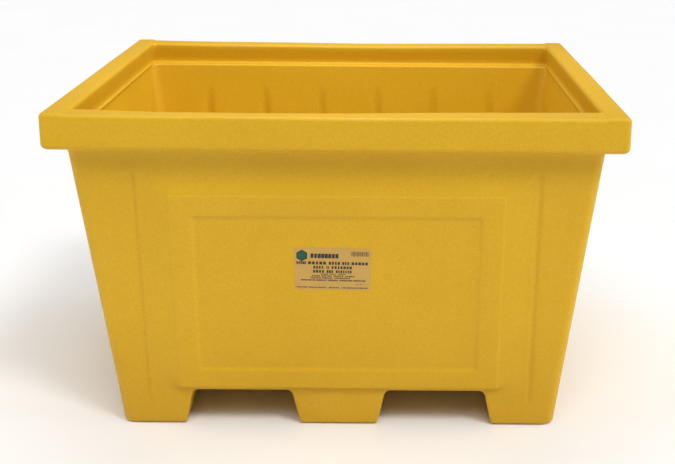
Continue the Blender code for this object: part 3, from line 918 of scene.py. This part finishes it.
# A plug's face from its middle out: (radius, height), its edge and its ribs' heights.
PLUG_FACE = ((0.0008, 0.0007), (0.0030, 0.0007), (0.0036, 0.0002), (0.0042, 0.0), (0.0072, 0.0),
             (0.0076, 0.0004), (0.0080, 0.0))
PLUG_RIBS = (0.0052, 0.0076, 0.0100)
PLUG_RIB_HALF = 0.0006      # half height of a rib
PLUG_BARREL = 0.0060


def insert_mesh(fitting):
    """One knurled sleeve with a threaded bore, its foot at the origin."""
    low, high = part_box(INSERT_NODES[0])
    radius = (high.x - low.x) / 2
    tall = high.z - low.z
    chamfer = INSERT_CHAMFER
    half = tall * 0.5
    bm = bmesh.new()
    profile = [(fitting.bore + chamfer, 0.0), (radius - chamfer, 0.0), (radius, chamfer),
               (radius, half - WAIST), (radius - WAIST, half - WAIST / 2),
               (radius - WAIST, half + WAIST / 2), (radius, half + WAIST),
               (radius, tall - chamfer), (radius - chamfer, tall), (fitting.bore + chamfer, tall)]
    z = tall - chamfer
    while z > chamfer + fitting.thread_pitch:
        profile.append((fitting.bore, z))
        profile.append((fitting.bore - fitting.thread_depth, z - fitting.thread_pitch / 2))
        z -= fitting.thread_pitch
    profile.append((fitting.bore, chamfer))

    def flute(reach, height, index):
        knurled = reach > radius - 1e-6
        return reach - fitting.knurl_depth * (index % 2) if knurled else reach

    rows = lathe(bm, profile, segments=LATHE_STEPS, flute=flute)
    for i in range(LATHE_STEPS):
        j = (i + 1) % LATHE_STEPS
        bm.faces.new((rows[-1][i], rows[-1][j], rows[0][j], rows[0][i]))
    return mesh_from(bm, "insert", outward=True)


def plug_mesh(fitting):
    """One vent plug with a stepped head, a dished middle and ribs on its barrel."""
    low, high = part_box(VENT_NODES[0])
    flange = (high.x - low.x) / 2
    waist = PLUG_BARREL - 0.0002
    tall = high.z - low.z
    profile = [*PLUG_FACE, (flange - 0.0008, 0.0), (flange - 0.0002, 0.0003), (flange, 0.0009),
               (flange, FLANGE_DEPTH - 0.0004), (flange - 0.0004, FLANGE_DEPTH),
               (PLUG_BARREL + 0.0004, FLANGE_DEPTH), (waist, FLANGE_DEPTH + 0.0006)]
    for z in PLUG_RIBS:
        profile += [(waist, z - PLUG_RIB_HALF), (waist + fitting.plug_rib, z),
                    (waist, z + PLUG_RIB_HALF)]
    profile += [(waist, tall - 0.0018), (PLUG_BARREL - 0.0016, tall - 0.0003),
                (PLUG_BARREL - 0.0022, tall), (0.0006, tall)]
    bm = bmesh.new()
    capped(bm, lathe(bm, profile, segments=LATHE_STEPS))
    return mesh_from(bm, "plug", outward=True)


def set_of_parts(name, part_mesh, nodes, mat, slot, seed):
    """Copies of a part on the places of CAD nodes, as one piece that stands for them all."""
    points = [(middle(node).x, middle(node).y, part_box(node)[0].z) for node in nodes]
    part = add_object("part", part_mesh)
    mesh = set_out(points, set_out_group(), Part=part, Seed=seed, Material=mat)
    bpy.data.objects.remove(part, do_unlink=True)
    if len(mesh.polygons) == 0:
        raise RuntimeError(f"{name} came out empty")
    return finished(name, mesh, mat, slot, *nodes, sharp=28.0)


class OBJECT_OT_tote_inserts(bpy.types.Operator):
    """Build the sixteen threaded caster inserts under the outer runners"""

    bl_idname = "object.tote_inserts"
    bl_label = "Caster inserts"

    def execute(self, context):
        fitting = context.scene.tote_fitting
        set_of_parts("caster_inserts", insert_mesh(fitting), INSERT_NODES,
                     turned_brass(context.scene.tote_finish), "insert_brass", fitting.seed)
        return {"FINISHED"}


class OBJECT_OT_tote_vents(bpy.types.Operator):
    """Build the two vent plugs in the roofs of the fork channels"""

    bl_idname = "object.tote_vents"
    bl_label = "Vent plugs"

    def execute(self, context):
        fitting = context.scene.tote_fitting
        set_of_parts("vent_plugs", plug_mesh(fitting), VENT_NODES,
                     moulded_black(context.scene.tote_finish), "black_plug", fitting.seed)
        return {"FINISHED"}


# ---- the label ---------------------------------------------------------------------
class LabelSettings(bpy.types.PropertyGroup):
    """Size and print of the label on the front."""

    width: length("Width", "Width of the label", 0.216)
    height: length("Height", "Height of the label", 0.129)
    tilt: turned("Tilt", "How far the label is out of level", -1.0)
    raise_by: length("Raise", "How far the label stands over its CAD place", 0.0025)
    thickness: length("Thickness", "Thickness of the film", 0.0004)
    stand_off: length("Stand off", "Gap behind the film", 0.0002)
    print_depth: length("Print", "Thickness of the ink", 0.00012)
    unevenness: share("Unevenness", "How much the printed blocks vary in width", 0.35)
    bar_unevenness: share("Bar unevenness", "How much the bars vary in width", 0.15)
    seed: bpy.props.IntProperty(name="Seed", description="Seed of the print", default=11, min=0)


# Rows of small print: centre from the top, height, then the start and end of each run of blocks,
# all as shares of the label's height or width, and how many blocks the run has.
PRINT_ROWS = (
    (0.360, 0.068, ((0.025, 0.155, 5), (0.175, 0.420, 5), (0.445, 0.600, 4), (0.620, 0.720, 3),
                    (0.742, 0.965, 5))),
    (0.462, 0.066, ((0.245, 0.385, 4), (0.415, 0.455, 2), (0.480, 0.755, 7))),
    (0.560, 0.066, ((0.240, 0.395, 4), (0.420, 0.510, 3), (0.540, 0.750, 7))),
    (0.622, 0.026, ((0.345, 0.440, 6), (0.460, 0.540, 5), (0.575, 0.665, 5))),
    (0.668, 0.030, ((0.230, 0.335, 7), (0.350, 0.490, 8), (0.510, 0.640, 7), (0.660, 0.790, 8))),
    (0.716, 0.030, ((0.215, 0.345, 8), (0.360, 0.500, 8), (0.520, 0.730, 12))),
    (0.770, 0.034, ((0.085, 0.270, 11), (0.285, 0.420, 8), (0.435, 0.570, 9), (0.585, 0.760, 11),
                    (0.775, 0.930, 9))),
    (0.850, 0.020, ((0.815, 0.845, 2), (0.860, 0.885, 2))),
    (0.945, 0.026, ((0.030, 0.170, 9), (0.185, 0.420, 14), (0.450, 0.590, 8), (0.615, 0.960, 20))),
)
BLOCK_SHARE = 0.84                              # how much of its step a block fills
HEADING = (0.205, 0.575, 0.190, 0.105, 8)       # start, end, centre from the top, height, count
HEADING_SHARE = 1.02
BARCODE = (0.735, 0.970, 0.130, 0.110, 26)
BAR_SHARES = (0.35, 0.80, 0.35, 0.55)           # widths that the bars take in turn
MARK_AT = (0.095, 0.190, 0.135)     # centre and half height of the plain six-sided mark
MARK_SHARES = (1.0, 0.78)           # sizes of its dark ground and its coloured face
SIX_CORNERS = np.radians(np.arange(30, 390, 60))


def print_blocks(label):
    """Centres and sizes of every printed block, in the label's own plane."""
    wide, tall = label.width, label.height
    places, sizes = [], []

    def block(start, end, centre, high):
        places.append(((start + end) / 2 * wide - wide / 2, tall / 2 - centre * tall, 0.0))
        sizes.append(((end - start) * wide, high * tall, 1.0))

    for centre, high, runs in PRINT_ROWS:
        for start, end, count in runs:
            step = (end - start) / count
            for i in range(count):
                block(start + i * step, start + (i + BLOCK_SHARE) * step, centre, high)
    start, end, centre, high, count = HEADING
    step = (end - start) / count
    for i in range(count):
        block(start + i * step, start + (i + HEADING_SHARE) * step, centre, high)
    return places, sizes


def barcode_blocks(label):
    """Centres and sizes of the bars of a made-up bar pattern."""
    start, end, centre, high, count = BARCODE
    step = (end - start) / count
    places, sizes = [], []
    for i in range(count):
        share_wide = BAR_SHARES[(i * 7 + i // 3) % len(BAR_SHARES)]
        places.append(((start + (i + 0.5) * step - 0.5) * label.width,
                       (0.5 - centre) * label.height, 0.0))
        sizes.append((step * share_wide * label.width, high * label.height, 1.0))
    return places, sizes


def slab(bm, outline, low, high):
    """A flat closed block from an outline, between two heights."""
    bottom = [bm.verts.new((x, y, low)) for x, y in outline]
    top = [bm.verts.new((x, y, high)) for x, y in outline]
    bm.faces.new(bottom[::-1])
    bm.faces.new(top)
    for i in range(len(outline)):
        j = (i + 1) % len(outline)
        bm.faces.new((bottom[i], bottom[j], top[j], top[i]))


def film_mesh(label, low, high, corner=0.003, across=30, up=18):
    """The label's film: a closed sheet with rounded corners, fine enough to follow the wall."""
    def outline(x, y):
        half_x, half_y = label.width / 2, label.height / 2
        over_x, over_y = abs(x) - (half_x - corner), abs(y) - (half_y - corner)
        if over_x > 0 and over_y > 0:
            reach = max(over_x, over_y) / math.hypot(over_x, over_y)
            x = math.copysign(half_x - corner + over_x * reach, x)
            y = math.copysign(half_y - corner + over_y * reach, y)
        return x, y

    def places(half, count):
        inner = np.linspace(-half + corner, half - corner, count)
        ends = np.linspace(half - corner, half, 5)[1:]
        return np.concatenate((-ends[::-1], inner, ends))

    xs, ys = places(label.width / 2, across), places(label.height / 2, up)
    points, faces = [], []
    for z in (low, high):
        points += [(*outline(x, y), z) for y in ys for x in xs]
    wide, layer = len(xs), len(xs) * len(ys)
    for row in range(len(ys) - 1):
        for column in range(wide - 1):
            i = row * wide + column
            faces.append((i + wide, i + wide + 1, i + 1, i))
            faces.append((layer + i, layer + i + 1, layer + i + wide + 1, layer + i + wide))
    edge = (list(range(wide)) + [row * wide + wide - 1 for row in range(1, len(ys))]
            + list(range(layer - 2, layer - wide - 1, -1))
            + [row * wide for row in range(len(ys) - 2, 0, -1)])
    for i, j in zip(edge, edge[1:] + edge[:1]):
        faces.append((i, j, layer + j, layer + i))
    return mesh_of(points, faces, "film")


def on_wall(mesh, label):
    """Moves a mesh from the label's plane on to the front wall; z becomes the lift off it."""
    flat = np.empty(len(mesh.vertices) * 3)
    mesh.vertices.foreach_get("co", flat)
    flat = flat.reshape(-1, 3)
    centre = middle("product_label")
    along = centre.x + flat[:, 0] * math.cos(label.tilt) - flat[:, 1] * math.sin(label.tilt)
    up = (centre.z + label.raise_by + flat[:, 0] * math.sin(label.tilt)
          + flat[:, 1] * math.cos(label.tilt))
    placed = shape_now().on_front(along, up, flat[:, 2])
    mesh.vertices.foreach_set("co", placed.ravel())
    mesh.update()
    return mesh


def printed_piece(name, meshes, mat, label):
    """Joins flat meshes, moves them on to the wall and finishes them as one printed piece."""
    bm = bmesh.new()
    for mesh in meshes:
        bm.from_mesh(mesh)
    joined = on_wall(mesh_from(bm, name), label)
    return finished(name, joined, mat, "label_film", sharp=25.0)


class OBJECT_OT_tote_label(bpy.types.Operator):
    """Build the label: its film, the plain print and the coloured mark"""

    bl_idname = "object.tote_label"
    bl_label = "Label"

    def execute(self, context):
        label = context.scene.tote_label
        finish = context.scene.tote_finish
        face, ink_depth = label.stand_off + label.thickness, label.print_depth
        film = on_wall(film_mesh(label, label.stand_off, face), label)
        finished("label_film", film, printed("label_film", finish.film, roughness=0.42, fibre=0.35),
                 "label_film", "product_label", sharp=50.0)
        ink = printed("label_ink", finish.ink, roughness=0.5, fibre=0.25)
        tree = print_group()
        stamps = []
        for (places, sizes), uneven in ((print_blocks(label), label.unevenness),
                                        (barcode_blocks(label), label.bar_unevenness)):
            places = [(x, y, face + ink_depth) for x, y, _ in places]
            sizes = [(x, y, ink_depth) for x, y, _ in sizes]
            stamps.append(set_out(places, tree, sizes, Unevenness=uneven, Seed=label.seed,
                                  Material=ink))
        if min(len(stamp.polygons) for stamp in stamps) == 0:
            raise RuntimeError("the label's print came out empty")
        x = (MARK_AT[0] - 0.5) * label.width
        y = (0.5 - MARK_AT[1]) * label.height
        marks = []
        for size, low, high in ((MARK_SHARES[0], 0.5, 1.5), (MARK_SHARES[1], 2, 3)):
            reach = MARK_AT[2] * label.height * size
            outline = [(x + reach * math.cos(turn), y + reach * math.sin(turn))
                       for turn in SIX_CORNERS]
            bm = bmesh.new()
            slab(bm, outline, face + ink_depth * low, face + ink_depth * high)
            marks.append(mesh_from(bm, "mark"))
        ground, mark = marks
        printed_piece("label_ink", [*stamps, ground], ink, label)
        green = printed("label_mark", finish.mark, roughness=0.45, fibre=0.20)
        printed_piece("label_mark", [mark], green, label)
        return {"FINISHED"}


# ---- stage -------------------------------------------------------------------------
class StageSettings(bpy.types.PropertyGroup):
    """Camera and lights."""

    camera_place: bpy.props.FloatVectorProperty(
        name="Camera", description="Where the camera stands", size=3, unit="LENGTH",
        subtype="TRANSLATION", default=(0.1319, -3.8067, 1.6295))
    camera_tilt: turned("Tilt", "How far the camera looks down", 15.697)
    camera_turn: turned("Turn", "How far the camera turns to the right", 0.08)
    camera_roll: turned("Roll", "How far the camera rolls", 0.392)
    lens: bpy.props.FloatProperty(
        name="Lens", description="Focal length in millimetres", unit="CAMERA", default=64.04)
    overhead_power: bpy.props.FloatProperty(
        name="Overhead", description="Power of the lamp over the bin", unit="POWER", default=58.0)
    right: strength("Right", "Strength of the low light from the right", 1.12)
    left: strength("Left", "Strength of the low light from the left", 0.82)
    front: strength("Front", "Strength of the light from the front", 0.98)
    key: strength("Key", "Strength of the light from the front right", 1.04)
    back: strength("Back", "Strength of the high light from behind", 0.46)
    sky: strength("Sky", "Strength of the even light from all round", 0.27)


FLOOR_REACH = 60
CAMERA_SHIFT = (-0.0718, -0.0532)
SENSOR_WIDTH = 36.0
SUNS = (("right", (0.94, 0.0, 0.34), 34.0),        # name, direction to it, spread in degrees
        ("left", (-0.94, 0.0, 0.34), 34.0),
        ("front", (0.0, -0.57, 0.82), 30.0),
        ("key", (0.413, -0.492, 0.766), 15.0),
        ("back", (0.0, 0.34, 0.94), 30.0))
OVERHEAD_HEIGHT = 2.65
OVERHEAD_SPREAD = 78.0
OVERHEAD_BLEND = 0.7
OVERHEAD_RADIUS = 0.35


def sun(name, energy, towards, spread):
    """A soft sun that shines from the given direction."""
    light = bpy.data.lights.new(name, "SUN")
    light.energy = energy
    light.angle = math.radians(spread)
    add_object(name, light).rotation_euler = Vector(towards).to_track_quat("Z", "Y").to_euler()


def overhead(power):
    """A soft round lamp high over the bin, for the rim and the inside."""
    light = bpy.data.lights.new("overhead_light", "SPOT")
    light.energy = power
    light.spot_size = math.radians(OVERHEAD_SPREAD)
    light.spot_blend = OVERHEAD_BLEND
    light.shadow_soft_size = OVERHEAD_RADIUS
    add_object("overhead_light", light).location = (0.0, 0.0, OVERHEAD_HEIGHT)


class OBJECT_OT_tote_stage(bpy.types.Operator):
    """Build the floor, the lights and the camera"""

    bl_idname = "object.tote_stage"
    bl_label = "Stage"

    def execute(self, context):
        scene = context.scene
        stage = scene.tote_stage
        corners = [(x * FLOOR_REACH, y * FLOOR_REACH, FLOOR)
                   for x, y in ((-1, -1), (1, -1), (1, 1), (-1, 1))]
        floor_mesh = mesh_of(corners, [(0, 1, 2, 3)])
        floor_mesh.materials.append(studio_floor(scene.tote_finish))
        add_object("studio_floor", floor_mesh)
        for name, towards, spread in SUNS:
            sun(f"{name}_light", getattr(stage, name), towards, spread)
        overhead(stage.overhead_power)
        world = bpy.data.worlds.new("studio_sky")
        world.use_nodes = True
        sky = world.node_tree.nodes["Background"].inputs
        sky["Color"].default_value = (1.0, 1.0, 1.0, 1.0)
        sky["Strength"].default_value = stage.sky
        scene.world = world
        camera = bpy.data.cameras.new("camera")
        camera.lens = stage.lens
        camera.sensor_width = SENSOR_WIDTH
        camera.shift_x, camera.shift_y = CAMERA_SHIFT
        obj = add_object("camera", camera)
        turn = Matrix.Rotation(-stage.camera_turn, 3, "Z")
        tilt = Matrix.Rotation(math.pi / 2 - stage.camera_tilt, 3, "X")
        roll = Matrix.Rotation(stage.camera_roll, 3, "Z")
        obj.rotation_euler = (turn @ tilt @ roll).to_euler()
        obj.location = stage.camera_place
        scene.camera = obj
        scene.view_settings.view_transform = "Standard"
        return {"FINISHED"}


PROPERTIES = {"tote_tub": TubSettings, "tote_relief": ReliefSettings,
              "tote_finish": FinishSettings, "tote_fitting": FittingSettings,
              "tote_label": LabelSettings, "tote_stage": StageSettings}
OPERATORS = (OBJECT_OT_tote_stage, OBJECT_OT_tote_moulding, OBJECT_OT_tote_label,
             OBJECT_OT_tote_inserts, OBJECT_OT_tote_vents)


class VIEW3D_PT_tote_bin(bpy.types.Panel):
    """Lists the steps that build the bin"""

    bl_idname = "VIEW3D_PT_tote_bin"
    bl_label = "Tote Bin"
    bl_space_type = "VIEW_3D"
    bl_region_type = "UI"
    bl_category = "Tote Bin"

    def draw(self, context):
        for operator in OPERATORS:
            self.layout.operator(operator.bl_idname)


def register():
    for name, group in PROPERTIES.items():
        bpy.utils.register_class(group)
        setattr(bpy.types.Scene, name, bpy.props.PointerProperty(type=group))
    for cls in (*OPERATORS, VIEW3D_PT_tote_bin):
        bpy.utils.register_class(cls)


def unregister():
    for cls in (VIEW3D_PT_tote_bin, *reversed(OPERATORS)):
        bpy.utils.unregister_class(cls)
    for name, group in PROPERTIES.items():
        delattr(bpy.types.Scene, name)
        bpy.utils.unregister_class(group)


def main():
    register()
    for operator in OPERATORS:
        group, name = operator.bl_idname.split(".")
        getattr(getattr(bpy.ops, group), name)()


if __name__ == "__main__":
    main()
